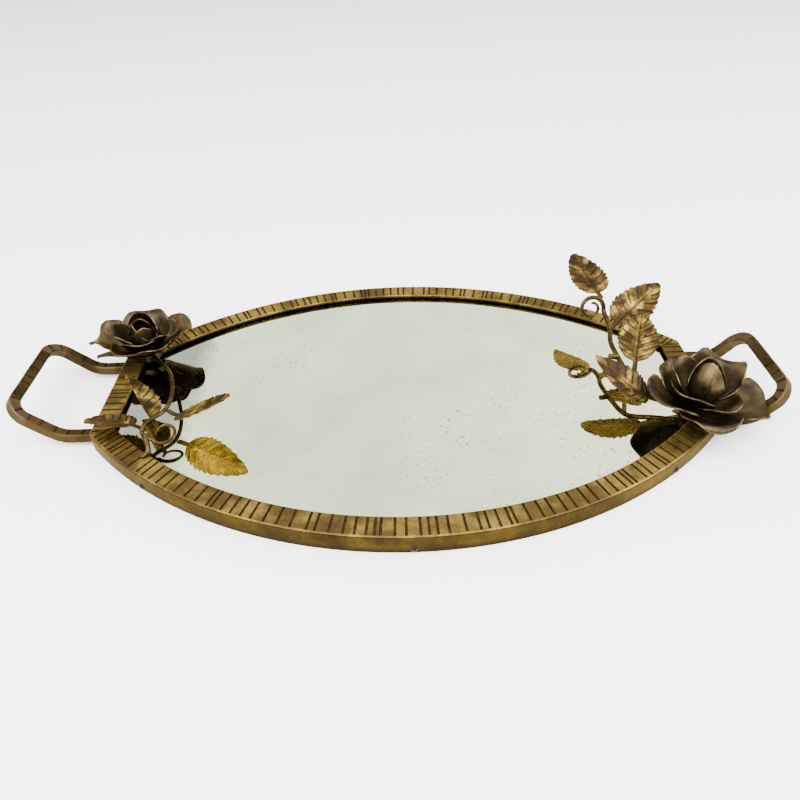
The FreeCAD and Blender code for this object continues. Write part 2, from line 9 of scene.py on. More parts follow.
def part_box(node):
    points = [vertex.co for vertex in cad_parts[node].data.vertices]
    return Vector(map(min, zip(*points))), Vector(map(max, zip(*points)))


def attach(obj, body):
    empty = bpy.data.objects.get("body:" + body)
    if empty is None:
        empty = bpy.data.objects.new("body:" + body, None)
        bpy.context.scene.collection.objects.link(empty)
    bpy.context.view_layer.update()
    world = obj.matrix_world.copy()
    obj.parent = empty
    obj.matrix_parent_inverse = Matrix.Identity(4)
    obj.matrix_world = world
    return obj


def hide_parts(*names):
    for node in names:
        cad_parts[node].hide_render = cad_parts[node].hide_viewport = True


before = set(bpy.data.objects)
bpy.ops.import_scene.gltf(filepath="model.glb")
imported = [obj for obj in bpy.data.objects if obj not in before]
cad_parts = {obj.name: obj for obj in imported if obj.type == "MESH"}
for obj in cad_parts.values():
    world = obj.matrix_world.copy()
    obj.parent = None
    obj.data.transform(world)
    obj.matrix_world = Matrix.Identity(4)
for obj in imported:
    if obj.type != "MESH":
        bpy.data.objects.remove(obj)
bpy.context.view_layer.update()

# The looks of a dresser vanity tray: a gilt iron rim chiselled across its top, an aged mirror,
# two handles of chiselled square bar, and two sheet-metal roses with sprays of gilt leaves.

MM = 0.001
UP = Vector((0, 0, 1))


# Places read from the frame -----------------------------------------------------------------

def corners_of(node):
    low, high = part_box(node)
    return Vector(low), Vector(high)


LONG_LOW, LONG_HIGH = corners_of("front_rail")
END_LOW, END_HIGH = corners_of("right_end_rail")
HALF_LENGTH = END_HIGH.x
HALF_DEPTH = -LONG_LOW.y
CORNER_Y = END_HIGH.y
FLANGE_TOP = LONG_HIGH.z
FLANGE_WIDTH = END_HIGH.x - END_LOW.x
ARC_RADIUS = ((HALF_LENGTH ** 2 + (HALF_DEPTH - CORNER_Y) ** 2)
              / (2 * (HALF_DEPTH - CORNER_Y)))
ARC_CENTRE = ARC_RADIUS - HALF_DEPTH


def rose_foot(side):
    low, high = corners_of(side + "_rose_boss")
    return Vector(((low.x + high.x) / 2, (low.y + high.y) / 2, FLANGE_TOP))


# Materials ----------------------------------------------------------------------------------

class Finish:
    """A material under construction: its node tree, its shader and its coordinates."""

    def __init__(self, name, metallic, roughness, edge_tint=(1.0, 1.0, 1.0)):
        self.material = bpy.data.materials.new(name)
        self.material.use_nodes = True
        self.tree = self.material.node_tree
        self.shader = self.tree.nodes["Principled BSDF"]
        self.shader.inputs["Metallic"].default_value = metallic
        self.shader.inputs["Roughness"].default_value = roughness
        self.shader.inputs["Specular Tint"].default_value = (*edge_tint, 1.0)
        self.place = self.tree.nodes.new("ShaderNodeTexCoord").outputs["Object"]

    def link(self, source, target):
        self.tree.links.new(source, target)

    def node(self, kind, **values):
        made = self.tree.nodes.new(kind)
        for name, value in values.items():
            setattr(made, name, value)
        return made

    def stretched(self, scale):
        mapping = self.node("ShaderNodeMapping")
        mapping.inputs["Scale"].default_value = scale
        self.link(self.place, mapping.inputs["Vector"])
        return mapping.outputs["Vector"]

    def cloud(self, scale, detail=4.0, rough=0.55, place=None):
        cloud = self.node("ShaderNodeTexNoise")
        cloud.inputs["Scale"].default_value = scale
        cloud.inputs["Detail"].default_value = detail
        cloud.inputs["Roughness"].default_value = rough
        self.link(place or self.place, cloud.inputs["Vector"])
        return cloud.outputs["Fac"]

    def ramp(self, source, stops):
        ramp = self.node("ShaderNodeValToRGB")
        while len(ramp.color_ramp.elements) < len(stops):
            ramp.color_ramp.elements.new(0.5)
        for element, (position, colour) in zip(ramp.color_ramp.elements, stops):
            element.position = position
            element.color = (*colour, 1.0) if isinstance(colour, tuple) else (
                colour, colour, colour, 1.0)
        self.link(source, ramp.inputs["Fac"])
        return ramp.outputs["Color"]

    def mix(self, share, first, second):
        mix = self.node("ShaderNodeMix", data_type="RGBA")
        self.link(share, mix.inputs["Factor"])
        for socket, value in ((mix.inputs["A"], first), (mix.inputs["B"], second)):
            if isinstance(value, tuple):
                socket.default_value = (*value, 1.0)
            else:
                self.link(value, socket)
        return mix.outputs["Result"]

    def sum(self, first, second, operation="ADD"):
        sum_node = self.node("ShaderNodeMath", operation=operation, use_clamp=True)
        for socket, value in zip(sum_node.inputs, (first, second)):
            if isinstance(value, float):
                socket.default_value = value
            else:
                self.link(value, socket)
        return sum_node.outputs["Value"]

    def grain(self, broad, fine, share):
        """Two clouds laid together without clipping, the second one's weight given."""
        return self.sum(self.sum(broad, 1.0 - share, "MULTIPLY"),
                        self.sum(fine, share, "MULTIPLY"))

    def attribute(self, name):
        return self.node("ShaderNodeAttribute", attribute_name=name).outputs["Fac"]

    def part(self, vector, axis):
        """One axis of a vector."""
        split = self.node("ShaderNodeSeparateXYZ")
        self.link(vector, split.inputs["Vector"])
        return split.outputs[axis]

    def upward(self, offset, stops):
        """A ramp over how far the surface looks up, shifted by an offset."""
        normal = self.node("ShaderNodeNewGeometry").outputs["Normal"]
        return self.ramp(self.sum(self.part(normal, "Z"), offset), stops)

    def colour(self, source):
        self.link(source, self.shader.inputs["Base Color"])

    def roughen(self, source, low, high):
        spread = self.node("ShaderNodeMapRange")
        spread.inputs["To Min"].default_value = low
        spread.inputs["To Max"].default_value = high
        self.link(source, spread.inputs["Value"])
        self.link(spread.outputs["Result"], self.shader.inputs["Roughness"])

    def bump(self, source, depth, strength=1.0):
        bump = self.node("ShaderNodeBump")
        bump.inputs["Distance"].default_value = depth
        bump.inputs["Strength"].default_value = strength
        self.link(source, bump.inputs["Height"])
        self.link(bump.outputs["Normal"], self.shader.inputs["Normal"])


WARM_EDGE = (0.70, 0.60, 0.45)
UMBER = (0.012, 0.007, 0.003)
BRONZE = (0.042, 0.025, 0.009)
WARM_BRONZE = (0.076, 0.048, 0.012)
OCHRE = (0.178, 0.118, 0.026)
GILT = (0.250, 0.170, 0.038)


def rim_gilt(name, tones, foot_level):
    """Gilding over dark iron, browner in clouds, darkest below a level near the foot."""
    finish = Finish(name, 0.9, 0.42, WARM_EDGE)
    broad = finish.cloud(38.0, 5.0, 0.6)
    fine = finish.cloud(420.0, 3.0, 0.6)
    base = finish.ramp(broad, list(zip((0.32, 0.45, 0.55, 0.72), tones)))
    flecks = finish.ramp(fine, [(0.42, 0.0), (0.62, 1.0)])
    speckled = finish.mix(finish.sum(flecks, 0.45, "MULTIPLY"), base, tones[1])
    foot = finish.node("ShaderNodeMapRange")
    foot.inputs["From Min"].default_value = foot_level * 0.3
    foot.inputs["From Max"].default_value = foot_level
    foot.inputs["To Min"].default_value = 0.85
    foot.inputs["To Max"].default_value = 0.0
    finish.link(finish.part(finish.place, "Z"), foot.inputs["Value"])
    finish.colour(finish.mix(foot.outputs["Result"], speckled, UMBER))
    finish.roughen(fine, 0.36, 0.55)
    finish.bump(finish.grain(broad, fine, 0.2), 1.0 * MM, 0.7)
    return finish.material


def chisel_dark(name):
    """The bottom and sides of a chisel cut, painted dark: painted shade in the recess."""
    finish = Finish(name, 0.9, 0.62, WARM_EDGE)
    cut_shade_cloud = finish.cloud(260.0, 3.0)
    finish.colour(finish.ramp(cut_shade_cloud, [(0.35, (0.018, 0.011, 0.004)),
                                      (0.70, (0.056, 0.034, 0.012))]))
    finish.bump(cut_shade_cloud, 0.2 * MM, 0.5)
    return finish.material


def handle_bronze():
    """Browner gilding than the rim's, worn pale at the corners of the loop."""
    finish = Finish("handle bronze", 0.9, 0.44, WARM_EDGE)
    broad = finish.cloud(55.0, 5.0, 0.6)
    fine = finish.cloud(500.0, 3.0, 0.65)
    base = finish.ramp(broad, [(0.34, (0.009, 0.006, 0.002)), (0.48, (0.021, 0.013, 0.004)),
                               (0.62, (0.046, 0.030, 0.010))])
    worn = finish.ramp(finish.sum(finish.attribute("rub"), finish.cloud(180.0), "MULTIPLY"),
                       [(0.22, 0.0), (0.50, 1.0)])
    rubbed = finish.mix(worn, base, (0.058, 0.039, 0.021))
    grain = finish.ramp(fine, [(0.40, 0.0), (0.62, 1.0)])
    finish.colour(finish.mix(finish.sum(grain, 0.4, "MULTIPLY"), rubbed, BRONZE))
    finish.roughen(fine, 0.36, 0.58)
    finish.bump(finish.grain(broad, fine, 0.35), 0.9 * MM, 0.7)
    return finish.material


def petal_bronze():
    """Brown-patinated sheet, rubbed to gold along its edges and in soft clouds, with near-black
    painted shade on the faces that look down.
    """
    finish = Finish("petal bronze", 0.9, 0.38, WARM_EDGE)
    broad = finish.cloud(60.0, 4.0, 0.55)
    fine = finish.cloud(600.0, 3.0, 0.6)
    base = finish.ramp(broad, [(0.34, (0.013, 0.010, 0.006)), (0.50, (0.040, 0.028, 0.015)),
                               (0.66, (0.094, 0.066, 0.029))])
    warm = finish.mix(finish.ramp(finish.cloud(95.0, 3.0), [(0.52, 0.0), (0.72, 0.6)]),
                      base, (0.072, 0.044, 0.028))
    edge = finish.ramp(finish.sum(finish.attribute("rub"),
                                  finish.sum(finish.cloud(240.0), 1.5, "MULTIPLY"), "MULTIPLY"),
                       [(0.62, 0.0), (1.0, 0.85)])
    rubbed = finish.mix(edge, warm, (0.125, 0.082, 0.032))
    # Painted shade: the faces that look down go near black.
    upper = finish.upward(0.7, [(0.0, 0.0), (0.4, 1.0)])
    finish.colour(finish.mix(upper, (0.012, 0.009, 0.006), rubbed))
    finish.roughen(fine, 0.28, 0.48)
    finish.bump(finish.grain(broad, fine, 0.25), 0.7 * MM, 0.5)
    return finish.material


def leaf_gilt():
    """Bright gilding on the ridges of a leaf, with painted shade in its veins, brown towards its
    stalk.
    """
    finish = Finish("leaf gilt", 0.9, 0.38, WARM_EDGE)
    broad = finish.cloud(90.0, 4.0, 0.6)
    fine = finish.cloud(650.0, 3.0, 0.6)
    gilt = finish.ramp(broad, [(0.38, (0.022, 0.013, 0.004)), (0.48, (0.062, 0.040, 0.008)),
                               (0.56, (0.170, 0.112, 0.022)), (0.66, (0.420, 0.285, 0.068))])
    # Painted shade in the veins, rib and ring punches.
    vein_shaded = finish.mix(finish.attribute("groove_shade"), gilt, (0.010, 0.006, 0.003))
    upper = finish.upward(0.5, [(0.35, 0.0), (0.55, 1.0)])
    aged = finish.mix(finish.attribute("age"), vein_shaded, (0.024, 0.014, 0.008))
    bright = finish.ramp(broad, [(0.36, (0.140, 0.066, 0.010)), (0.62, (0.380, 0.205, 0.036))])
    # The faces that look down: gilt, mixed with dark painted shade by the under share.
    under = finish.mix(finish.attribute("under"), (0.060, 0.038, 0.016), bright)
    finish.colour(finish.mix(upper, under, aged))
    finish.roughen(finish.sum(fine, finish.attribute("age")), 0.26, 0.52)
    finish.bump(broad, 0.35 * MM, 0.5)
    return finish.material


def stem_iron():
    """Dark bronze over wire, rubbed lighter in clouds."""
    finish = Finish("stem wire", 0.9, 0.42, WARM_EDGE)
    broad = finish.cloud(120.0, 4.0, 0.6)
    fine = finish.cloud(700.0, 3.0)
    finish.colour(finish.ramp(broad, [(0.34, (0.012, 0.007, 0.003)), (0.50, (0.030, 0.019, 0.006)),
                                      (0.68, (0.085, 0.055, 0.014))]))
    finish.roughen(fine, 0.34, 0.54)
    finish.bump(finish.grain(broad, fine, 0.1), 0.8 * MM, 0.6)
    return finish.material


def aged_mirror():
    """Silvering seen through old greenish glass: haze, dark specks, and on the left a dark band of
    painted shadow and reflection from the rim.
    """
    finish = Finish("aged mirror", 1.0, 0.02)
    along = finish.part(finish.place, "X")
    lean = finish.sum(along, 1.6, "MULTIPLY")
    haze = finish.sum(finish.cloud(14.0, 4.0, 0.6), lean)
    tint = finish.ramp(haze, [(0.30, (0.520, 0.575, 0.380)), (0.80, (0.780, 0.850, 0.590))])
    # A dark band along the left: painted shadow and reflection from the rim.
    leftward = finish.sum(along, -1.0, "MULTIPLY")
    ragged = finish.sum(finish.cloud(70.0, 6.0, 0.7), 0.03, "MULTIPLY")
    worn = finish.ramp(finish.sum(leftward, ragged), [(0.160, 0.0), (0.174, 0.85)])
    long_place = finish.stretched((1.0, 2.6, 1.0))
    region = finish.ramp(finish.cloud(11.0, 2.0), [(0.48, 0.0), (0.60, 1.0)])
    specks = finish.ramp(finish.cloud(330.0, 2.0, 0.5, long_place), [(0.650, 0.0), (0.668, 1.0)])
    dots = finish.ramp(finish.cloud(620.0, 1.0, 0.4), [(0.752, 0.0), (0.765, 1.0)])
    marks = finish.sum(finish.sum(specks, region, "MULTIPLY"), dots)
    # The silver, darkened in the left band of painted shadow and reflection.
    silver = finish.mix(worn, tint, (0.170, 0.190, 0.150))
    finish.colour(finish.mix(marks, silver, (0.050, 0.055, 0.045)))
    finish.bump(finish.cloud(24.0, 1.0, 0.4), 0.06 * MM, 1.0)
    return finish.material


def pin_brass():
    """Tarnished brass pin heads."""
    finish = Finish("pin brass", 0.85, 0.40)
    tarnish = finish.cloud(500.0, 3.0)
    finish.colour(finish.ramp(tarnish, [(0.35, (0.006, 0.004, 0.002)),
                                        (0.65, (0.030, 0.019, 0.008))]))
    finish.bump(tarnish, 0.1 * MM, 0.5)
    return finish.material


def backing_board():
    """Pressed fibre board."""
    finish = Finish("backing board", 0.0, 0.85)
    fibres = finish.cloud(300.0, 6.0, 0.7, finish.stretched((1.0, 3.0, 6.0)))
    finish.colour(finish.ramp(fibres, [(0.35, (0.15, 0.10, 0.06)), (0.65, (0.27, 0.19, 0.12))]))
    finish.bump(fibres, 0.15 * MM, 0.6)
    return finish.material


def base_felt():
    """Dark green felt: matted short fibres."""
    finish = Finish("base felt", 0.0, 0.95)
    mat = finish.cloud(900.0, 6.0, 0.75)
    finish.colour(finish.ramp(mat, [(0.35, (0.012, 0.030, 0.018)), (0.65, (0.030, 0.070, 0.042))]))
    finish.shader.inputs["Sheen Weight"].default_value = 0.5
    finish.bump(mat, 0.3 * MM, 0.8)
    return finish.material


RIM = rim_gilt("rim gilt", (BRONZE, WARM_BRONZE, OCHRE, GILT), 0.5 * MM)
# The rim's gilt made darker and browner for the walls: painted shade.
RIM_WALL_SHADE = rim_gilt("rim wall shaded gilt", ((0.012, 0.007, 0.002), (0.024, 0.015, 0.003),
                                      (0.050, 0.031, 0.005), (0.080, 0.050, 0.008)), 5.0 * MM)
# Painted shade for the chisel cuts in the rim and the handles.
RIM_CUT = chisel_dark("rim chisel cuts")
HANDLE = handle_bronze()
HANDLE_CUT = chisel_dark("handle chisel cuts")
PETAL = petal_bronze()
LEAF = leaf_gilt()
STEM = stem_iron()
MIRROR = aged_mirror()


# Making a piece -----------------------------------------------------------------------------

def make_piece(name, bm, materials, nodes, smooth=True, thickness=0.0):
    mesh = bpy.data.meshes.new(name)
    bm.to_mesh(mesh)
    bm.free()
    for material in materials:
        mesh.materials.append(material)
    mesh.polygons.foreach_set("use_smooth", [smooth] * len(mesh.polygons))
    piece = bpy.data.objects.new(name, mesh)
    bpy.context.scene.collection.objects.link(piece)
    if thickness:
        sheet = piece.modifiers.new("sheet thickness", "SOLIDIFY")
        sheet.thickness = thickness
        sheet.offset = 0.0
    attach(piece, "root")
    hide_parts(*nodes)
    return piece


def smoothstep(low, high, value):
    share = min(max((value - low) / (high - low), 0.0), 1.0)
    return share * share * (3 - 2 * share)


# The rim ------------------------------------------------------------------------------------

# The angle section, as distance in from the outer face and height, in millimetres.
ANGLE_SECTION = [(0, 0), (0, 12.2), (0.35, 13.1), (1.3, 13.6), (4.5, 13.6), (8.0, 13.6),
                 (11.5, 13.6), (14.7, 13.6), (15.4, 13.0), (15.4, 11.6), (2, 11.6), (2, 0)]
STATION = 1.65 * MM
CUT_DEPTH = 0.9 * MM
CUT_SLOPE = 0.30 * MM
MITRE_GAP = 0.16 * MM
# How far a rail is swept past its corner before its mitre is cut: an angle, and a length.
ARC_OVERRUN = 0.006
END_OVERRUN = 1.0 * MM
# The flange's unevenness: how fine it is, its depth in millimetres and its level.
HAMMER_SCALE = 90.0
HAMMER_DEPTH = 0.22
HAMMER_LEVEL = 0.6

# Chisel cuts on the rim, in stations: where the first may fall, the gaps in open stretches and in
# crowded ones, the gap and the odds of a doubled cut, and the share of a rail at each end that is
# crowded.
FIRST_GAP = (1.5, 3.0)
OPEN_GAP = (3.2, 5.4)
CROWDED_GAP = (2.1, 3.4)
DOUBLED_GAP = 2.0
DOUBLED_ODDS = 0.14
LONG_CROWD = 0.07
END_CROWD = 0.12


def section_edges(bm, at):
    """The closed outline of the angle section; `at` places a point of it."""
    verts = [bm.verts.new(at(inward * MM, height * MM)) for inward, height in ANGLE_SECTION]
    return verts + [bm.edges.new((a, b)) for a, b in zip(verts, verts[1:] + verts[:1])]


def cut_stations(count, seed, crowd):
    """The stations that carry a chisel cut: irregular, sometimes doubled, crowded at the ends."""
    rolls = random.Random(seed)
    chosen = []
    at = rolls.uniform(*FIRST_GAP)
    while at < count - 1:
        chosen.append(int(at))
        nearness = min(at, count - at) / count
        gap = rolls.uniform(*(OPEN_GAP if nearness > crowd else CROWDED_GAP))
        if rolls.random() < DOUBLED_ODDS:
            gap = DOUBLED_GAP
        at += gap
    return chosen


def chisel(bm, faces):
    """Sink a row of faces as one cut with sloping sides."""
    sides = bmesh.ops.inset_region(bm, faces=faces, thickness=CUT_SLOPE, depth=-CUT_DEPTH,
                                   use_boundary=True, use_even_offset=True)["faces"]
    # The cut's bottom and sides take the painted shade finish.
    for face in list(faces) + sides:
        face.material_index = 1


def trim(bm, point, normal):
    """Cut away what lies beyond a plane and close the cut."""
    geometry = bm.verts[:] + bm.edges[:] + bm.faces[:]
    cut = bmesh.ops.bisect_plane(bm, geom=geometry, dist=1e-6, plane_co=point,
                                 plane_no=normal, clear_outer=True)["geom_cut"]
    edges = [item for item in cut if isinstance(item, bmesh.types.BMEdge)]
    bmesh.ops.holes_fill(bm, edges=edges, sides=0)


def mitre(sign_x, sign_y):
    """A corner's outer point, and the square to its mitre that points into the long rail."""
    corner = Vector((sign_x * HALF_LENGTH, sign_y * CORNER_Y, 0))
    inner_x = HALF_LENGTH - FLANGE_WIDTH
    inner_y = math.sqrt((ARC_RADIUS - FLANGE_WIDTH) ** 2 - inner_x ** 2) - ARC_CENTRE
    along = corner - Vector((sign_x * inner_x, sign_y * inner_y, 0))
    normal = Vector((-along.y, along.x, 0)).normalized()
    if normal.y * sign_y < 0:
        normal.negate()
    return corner, normal


def soften_corner(bm, corner, sign_x, sign_y):
    """Round the sharp outer corner with three narrow facets."""
    slope = math.atan2(HALF_LENGTH, CORNER_Y + ARC_CENTRE)
    for share, depth in ((0.25, 0.24), (0.5, 0.46), (0.75, 0.24)):
        angle = (math.pi / 2 - slope) * (1 - share)
        facing = Vector((sign_x * math.cos(angle), sign_y * math.sin(angle), 0))
        trim(bm, corner - facing * depth * MM, facing)


def hammer_top(bm, seed):
    """The slightly uneven surface that hand hammering leaves on the flange."""
    for vert in bm.verts:
        if vert.co.z > FLANGE_TOP - 0.2 * MM:
            dent = noise.noise(vert.co * HAMMER_SCALE + Vector((seed, 0, 0)))
            vert.co.z -= HAMMER_DEPTH * MM * (HAMMER_LEVEL + dent)


def shade_wall(bm):
    """Give the wall, inside and out, a darker, browner copy of the rim's gilt: painted shade on
    every face that does not look up.
    """
    for face in bm.faces:
        if abs(face.normal.z) < 0.5 and face.material_index == 0:
            face.material_index = 2


def top_faces(bm):
    return [face for face in bm.faces
            if face.normal.z > 0.98 and face.calc_center_median().z > FLANGE_TOP - 0.1 * MM]


def long_rail(node, sign_y, seed):
    bm = bmesh.new()
    half_angle = math.asin(HALF_LENGTH / ARC_RADIUS) + ARC_OVERRUN
    count = int(2 * half_angle * ARC_RADIUS / STATION)
    centre = Vector((0, -sign_y * ARC_CENTRE, 0))
    start = Matrix.Rotation(-half_angle, 3, "Z")

    def at(inward, height):
        arm = start @ Vector((0, sign_y * (ARC_RADIUS - inward), 0))
        return centre + arm + UP * height

    bmesh.ops.spin(bm, geom=section_edges(bm, at), cent=centre, axis=UP, dvec=(0, 0, 0),
                   angle=2 * half_angle, steps=count, use_merge=False)
    bmesh.ops.recalc_face_normals(bm, faces=bm.faces[:])
    rows = {}
    for face in top_faces(bm):
        middle = face.calc_center_median() - centre
        angle = math.atan2(-sign_y * middle.x, sign_y * middle.y) + half_angle
        rows.setdefault(int(angle / (2 * half_angle) * count), []).append(face)
    hammer_top(bm, seed)
    for station in cut_stations(count, seed, LONG_CROWD):
        chisel(bm, rows[station])
    for sign_x in (-1, 1):
        corner, inward = mitre(sign_x, sign_y)
        trim(bm, corner + inward * MITRE_GAP, -inward)
        soften_corner(bm, corner, sign_x, sign_y)
    # The walls, inside and out, take painted shade.
    shade_wall(bm)
    make_piece(node + "_chiselled", bm, [RIM, RIM_CUT, RIM_WALL_SHADE], [node],
               smooth=False)


def end_rail(node, sign_x, seed):
    bm = bmesh.new()
    length = 2 * CORNER_Y + 2 * END_OVERRUN
    count = int(length / STATION)

    def at(inward, height):
        return Vector((sign_x * (HALF_LENGTH - inward), -length / 2, height))

    bmesh.ops.spin(bm, geom=section_edges(bm, at), cent=(0, 0, 0), axis=UP,
                   dvec=(0, length / count, 0), angle=0.0, steps=count, use_merge=False)
    bmesh.ops.recalc_face_normals(bm, faces=bm.faces[:])
    rows = {}
    for face in top_faces(bm):
        share = (face.calc_center_median().y + length / 2) / length
        rows.setdefault(int(share * count), []).append(face)
    hammer_top(bm, seed)
    for station in cut_stations(count, seed, END_CROWD):
        chisel(bm, rows[station])
    for sign_y in (-1, 1):
        corner, inward = mitre(sign_x, sign_y)
        trim(bm, corner - inward * MITRE_GAP, inward)
        soften_corner(bm, corner, sign_x, sign_y)
    # The walls, inside and out, take painted shade.
    shade_wall(bm)
    make_piece(node + "_chiselled", bm, [RIM, RIM_CUT, RIM_WALL_SHADE], [node],
               smooth=False)


# The handles --------------------------------------------------------------------------------

# The bar's width, the chamfer of its edges and the corners that its section has with them.
BAR = 7.2 * MM
CHAMFER = 0.7 * MM
SECTION_CORNERS = 8
BEND_RADIUS = 17.0 * MM
CORNER_RADIUS = 12.4 * MM
HANDLE_RUN = 22.0 * MM
# Each handle's climb along its incline, the incline's angle and half the legs' spacing.
HANDLES = {"left": (36.5 * MM, 41.0, 37.6 * MM), "right": (29.0 * MM, 49.0, 35.2 * MM)}
# The share of each handle's length that carries chisel cuts, from its first foot on.
CHISELLED_SHARE = {"left": 1.0, "right": 0.52}
# How far a handle's cuts stay from its ends, and the gaps between them, in stations.
FIRST_CUT = 3.0
HANDLE_GAP = (4.2, 6.4)
# The bar's unevenness: how fine it is, and its depth in millimetres.
BAR_RIPPLE_SCALE = 70.0
BAR_RIPPLE = 0.22


class Bar:
    """A square bar drawn out step by step: its end face is extruded and moved along."""

    def __init__(self, place):
        self.bm = bmesh.new()
        self.place = place
        half = BAR / 2
        near = half - CHAMFER
        outline = [(half, -near), (half, near), (near, half), (-near, half), (-half, near),
                   (-half, -near), (-near, -half), (near, -half)]
        verts = [self.bm.verts.new(place @ Vector((0, y, z))) for y, z in outline]
        self.end = self.bm.faces.new(verts)
        self.tops = []
        self.worn = []

    def step(self, move, worn):
        """Extrude once by a move given in the bar's own frame."""
        world = self.place @ move @ self.place.inverted()
        grown = bmesh.ops.extrude_face_region(self.bm, geom=[self.end])["geom"]
        verts = [item for item in grown if isinstance(item, bmesh.types.BMVert)]
        self.end = [item for item in grown if isinstance(item, bmesh.types.BMFace)][0]
        bmesh.ops.transform(self.bm, matrix=world, verts=verts)
        up = (self.place.to_3x3() @ UP).normalized()
        self.place = self.place @ move
        sides = {face for vert in verts for face in vert.link_faces if face is not self.end}
        for face in sides:
            face.normal_update()
        self.tops.append([face for face in sides if abs(face.normal.dot(up)) > 0.97
                          and (face.calc_center_median() - self.place.translation).dot(up) > 0])
        self.worn += [worn] * len(verts)

    def run(self, length, worn=0.0):
        count = max(int(round(length / STATION)), 1)
        for _ in range(count):
            self.step(Matrix.Translation((length / count, 0, 0)), worn)

    def turn(self, radius, degrees, axis, worn=0.0):
        """Bend about an axis of the bar's own frame, through a centre beside it."""
        angle = math.radians(degrees)
        count = max(int(round(abs(angle) * radius / STATION)), 2)
        side = Vector((0, 1, 0)) if axis == "Z" else UP
        centre = side * radius if (degrees > 0) == (axis == "Z") else -side * radius
        move = (Matrix.Translation(centre) @ Matrix.Rotation(angle / count, 4, axis)
                @ Matrix.Translation(-centre))
        for _ in range(count):
            self.step(move, worn)


def handle(side, seed):
    climb, tilt, spread = HANDLES[side]
    low, high = corners_of(side + "_handle")
    outward = -1 if side == "left" else 1
    middle_y = (low.y + high.y) / 2
    foot = Vector((outward * HALF_LENGTH, middle_y - outward * spread, low.z + BAR / 2))
    facing = Matrix.Rotation(math.pi if outward < 0 else 0.0, 4, "Z")
    bar = Bar(Matrix.Translation(foot) @ facing)
    setback = BEND_RADIUS * math.tan(math.radians(tilt) / 2)
    bar.run(HANDLE_RUN - setback)
    bar.turn(BEND_RADIUS, -tilt, "Y")
    bar.run(climb - setback - CORNER_RADIUS)
    bar.turn(CORNER_RADIUS, 90, "Z", worn=1.0)
    bar.run(2 * (spread - CORNER_RADIUS), worn=0.25)
    bar.turn(CORNER_RADIUS, 90, "Z", worn=1.0)
    bar.run(climb - setback - CORNER_RADIUS)
    bar.turn(BEND_RADIUS, -tilt, "Y")
    bar.run(HANDLE_RUN - setback)
    bm = bar.bm
    bmesh.ops.holes_fill(bm, edges=[edge for edge in bm.edges if edge.is_boundary], sides=0)
    rub = bm.verts.layers.float.new("rub")
    for vert, worn in zip(list(bm.verts)[SECTION_CORNERS:], bar.worn):
        vert[rub] = worn
    rolls = random.Random(seed)
    for vert in bm.verts:
        vert.co += noise.noise_vector(vert.co * BAR_RIPPLE_SCALE) * BAR_RIPPLE * MM
    bmesh.ops.recalc_face_normals(bm, faces=bm.faces[:])
    at = FIRST_CUT
    while at < (len(bar.tops) - FIRST_CUT) * CHISELLED_SHARE[side]:
        chisel(bm, bar.tops[int(at)])
        at += rolls.uniform(*HANDLE_GAP)
    make_piece(side + "_handle_chiselled", bm, [HANDLE, HANDLE_CUT], [side + "_handle"],
               smooth=False)


# The mirror ---------------------------------------------------------------------------------

SILVER_LEVEL = 9.7 * MM
MIRROR_EDGE_GAP = 2.5 * MM
MIRROR_SEGMENTS = 720


def mirror_plate():
    """The silvered face at the depth it is seen at through the glass."""
    low, high = corners_of("mirror_glass")
    bm = bmesh.new()
    radius = ARC_RADIUS - MIRROR_EDGE_GAP
    bmesh.ops.create_circle(bm, cap_ends=True, segments=MIRROR_SEGMENTS, radius=radius)
    bmesh.ops.translate(bm, vec=(0, -ARC_CENTRE, low.z), verts=bm.verts[:])
    for point, normal in (((high.x, 0, 0), (1, 0, 0)), ((low.x, 0, 0), (-1, 0, 0)),
                          ((0, 0, 0), (0, -1, 0))):
        bmesh.ops.bisect_plane(bm, geom=bm.verts[:] + bm.edges[:] + bm.faces[:], dist=1e-7,
                               plane_co=point, plane_no=normal, clear_outer=True)
    half = bm.verts[:] + bm.edges[:] + bm.faces[:]
    bmesh.ops.mirror(bm, geom=half, axis="Y", merge_dist=1e-6)
    grown = bmesh.ops.extrude_face_region(bm, geom=bm.faces[:])["geom"]
    raised = [item for item in grown if isinstance(item, bmesh.types.BMVert)]
    bmesh.ops.translate(bm, vec=(0, 0, SILVER_LEVEL - low.z), verts=raised)
    bmesh.ops.holes_fill(bm, edges=[edge for edge in bm.edges if edge.is_boundary], sides=0)
    bmesh.ops.recalc_face_normals(bm, faces=bm.faces[:])
    make_piece("mirror_silvered", bm, [MIRROR], ["mirror_glass"], smooth=False)


# The roses ----------------------------------------------------------------------------------

POST = 2.6 * MM
SHEET = 0.9 * MM


